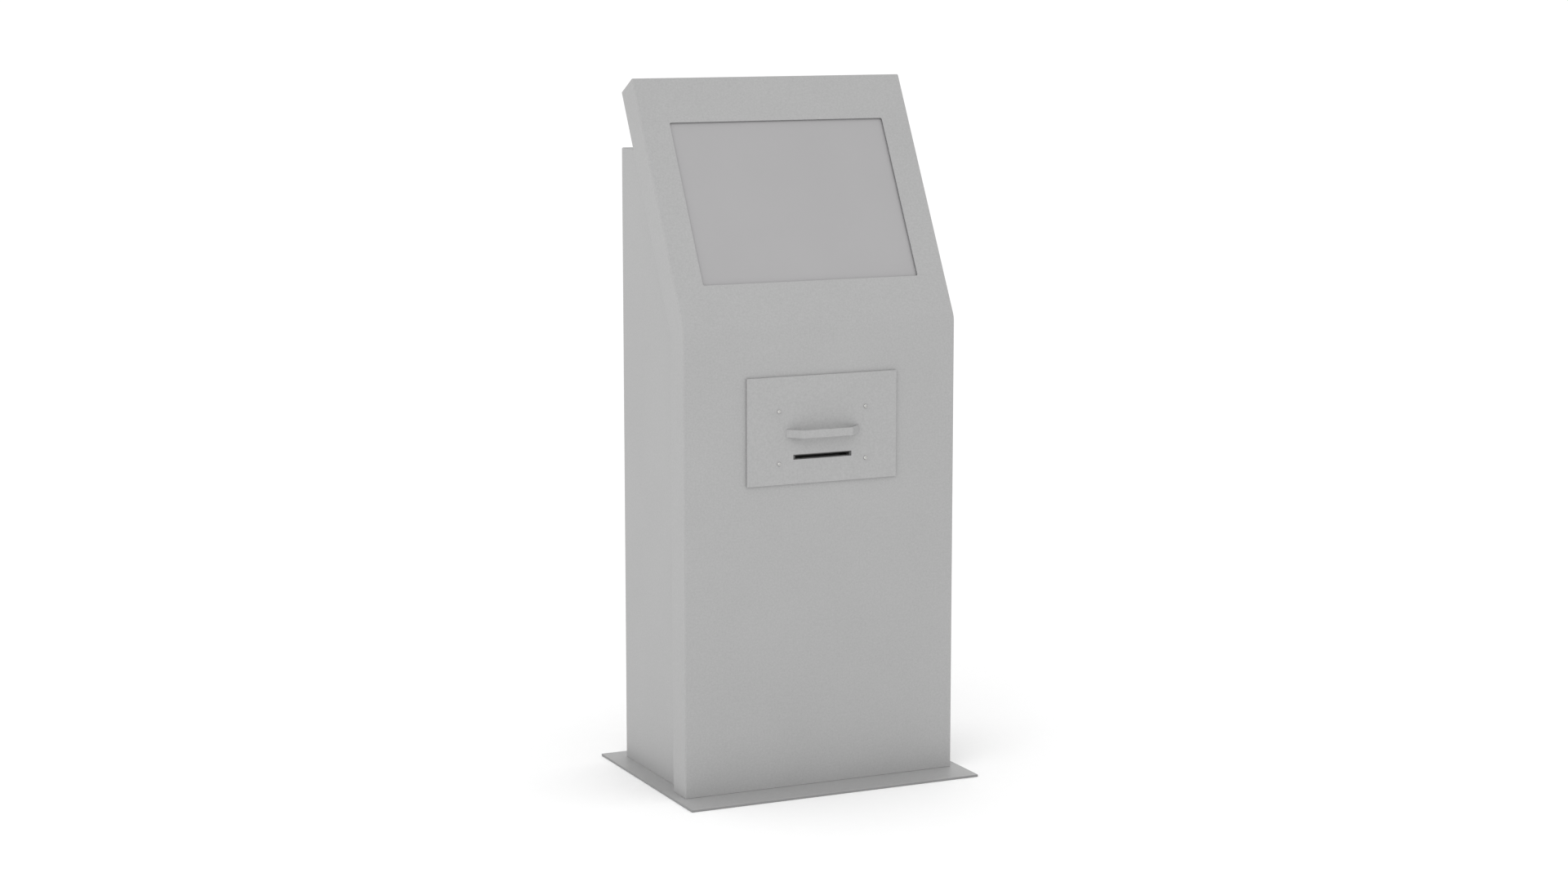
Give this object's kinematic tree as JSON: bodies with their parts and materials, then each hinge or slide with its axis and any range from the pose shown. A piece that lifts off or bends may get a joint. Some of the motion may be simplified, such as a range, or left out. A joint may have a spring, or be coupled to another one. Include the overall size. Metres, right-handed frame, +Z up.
{
  "type": "atm machine",
  "caption": "Floor-standing cash kiosk with an inclined touch screen, a pull-out cash module with slot and handle, and a hinged rear service door.",
  "frame": {"origin": "centre of the base plate's underside, on the floor", "axes": "+Z up; -Y is the front, with the screen and the note slot; +X is on the right of someone who stands in front and looks at it"},
  "size_m": [0.642, 0.4844, 1.4296],
  "materials": {
    "casing": "fine textured powder coat, light grey",
    "zinc_steel": "zinc plated sheet",
    "bright_steel": "bright turned steel",
    "black_plastic": "moulded, matt black",
    "rubber": "matt black",
    "screen_glass": "anti-glare coated glass over a grey, unlit panel",
    "brass": "turned",
    "grey_plastic": "moulded, dark grey",
    "display_housing": "grey housing, mean density of an open-frame display",
    "supply_housing": "folded and perforated"
  },
  "bodies": {
    "cabinet": {"base_plate": "casing", "front_fascia": "casing", "body_shell": "casing", "head_back_cover": "casing", "screen_gasket": "rubber", "touch_glass": "screen_glass", "display_unit": "display_housing", "display_bracket_left": "zinc_steel", "display_bracket_right": "zinc_steel", "equipment_shelf": "zinc_steel", "control_unit": "grey_plastic", "power_supply": "supply_housing", "module_shelf": "zinc_steel", "slide_bracket_left": "zinc_steel", "slide_bracket_right": "zinc_steel", "slide_outer_left": "zinc_steel", "slide_outer_right": "zinc_steel", "lower_hinge_frame_leaf": "bright_steel", "lower_hinge_pin": "bright_steel", "upper_hinge_frame_leaf": "bright_steel", "upper_hinge_pin": "bright_steel", "lock_keeper": "zinc_steel", "mains_inlet": "black_plastic"},
    "rear_door": {"rear_door": "casing", "vent_grille": "casing", "fan_frame": "black_plastic", "lower_hinge_door_leaf": "bright_steel", "upper_hinge_door_leaf": "bright_steel", "lock_barrel": "bright_steel"},
    "lock": {"lock_plug": "brass", "lock_cam": "zinc_steel"},
    "fan": {"fan_rotor": "black_plastic"},
    "cash_module": {"module_plate": "casing", "plate_screw_1": "bright_steel", "plate_screw_2": "bright_steel", "plate_screw_3": "bright_steel", "plate_screw_4": "bright_steel", "pull_handle": "casing", "module_tray": "zinc_steel", "slide_inner_left": "zinc_steel", "slide_inner_right": "zinc_steel", "slot_throat": "black_plastic", "transport_plate_left": "zinc_steel", "transport_plate_right": "zinc_steel", "feed_motor": "zinc_steel", "cassette_body": "grey_plastic", "cassette_lid": "grey_plastic"},
    "slide_left": {"slide_middle_left": "zinc_steel"},
    "slide_right": {"slide_middle_right": "zinc_steel"},
    "shutter": {"slot_shutter": "black_plastic"},
    "feed": {"feed_shaft": "bright_steel", "feed_roller": "rubber", "feed_gear": "grey_plastic"},
    "pinch": {"pinch_shaft": "bright_steel", "pinch_roller": "rubber"},
    "pinion": {"motor_pinion": "brass"},
    "bail": {"cassette_bail": "black_plastic"},
    "pusher": {"pusher_plate": "zinc_steel"},
    "rocker": {"power_rocker": "black_plastic"}
  },
  "joints": [
    {"name": "rear_door_hinge", "type": "hinge", "parent": "cabinet", "child": "rear_door", "pos_m": [-0.25925, 0.20735, 0.665], "axis": [0, 0, 1], "range_deg": [0, 110]},
    {"name": "lock_turn", "type": "hinge", "parent": "rear_door", "child": "lock", "pos_m": [0.2335, 0.20205, 0.7], "axis": [0, -1, 0], "range_deg": [0, 90]},
    {"name": "fan_spin", "type": "hinge", "parent": "rear_door", "child": "fan", "pos_m": [0, 0.19, 1.12], "axis": [0, 1, 0], "continuous": true},
    {"name": "module_slide", "type": "slide", "parent": "cabinet", "child": "cash_module", "axis": [0, -1, 0], "range_m": [0, 0.25]},
    {"name": "slide_left_travel", "type": "slide", "parent": "cabinet", "child": "slide_left", "axis": [0, -1, 0], "range_m": [0, 0.125]},
    {"name": "slide_right_travel", "type": "slide", "parent": "cabinet", "child": "slide_right", "axis": [0, -1, 0], "range_m": [0, 0.125]},
    {"name": "shutter_tilt", "type": "hinge", "parent": "cash_module", "child": "shutter", "pos_m": [0, -0.13555, 0.69475], "axis": [1, 0, 0], "range_deg": [0, 65], "stiffness_Nm_per_rad": 0.02},
    {"name": "feed_spin", "type": "hinge", "parent": "cash_module", "child": "feed", "pos_m": [0, -0.10155, 0.69295], "axis": [1, 0, 0], "continuous": true},
    {"name": "pinch_spin", "type": "hinge", "parent": "cash_module", "child": "pinch", "pos_m": [0, -0.10155, 0.67255], "axis": [1, 0, 0], "continuous": true},
    {"name": "pinion_spin", "type": "hinge", "parent": "cash_module", "child": "pinion", "pos_m": [0.0775, -0.0792, 0.7153], "axis": [1, 0, 0], "continuous": true},
    {"name": "bail_lift", "type": "hinge", "parent": "cash_module", "child": "bail", "pos_m": [0, 0.01845, 0.8137], "axis": [1, 0, 0], "range_deg": [0, 90]},
    {"name": "pusher_travel", "type": "slide", "parent": "cash_module", "child": "pusher", "axis": [0, 1, 0], "range_m": [0, 0.12], "stiffness_N_per_m": 20, "springref_m": -0.02},
    {"name": "rocker_tilt", "type": "hinge", "parent": "cabinet", "child": "rocker", "pos_m": [0.1875, 0.19905, 0.047], "axis": [1, 0, 0], "range_deg": [0, 16]}
  ],
  "couplings": [
    {"joint": "slide_left_travel", "follows": "module_slide", "ratio": 0.5},
    {"joint": "slide_right_travel", "follows": "module_slide", "ratio": 0.5},
    {"joint": "pinch_spin", "follows": "feed_spin", "ratio": -1},
    {"joint": "pinion_spin", "follows": "feed_spin", "ratio": -2}
  ]
}
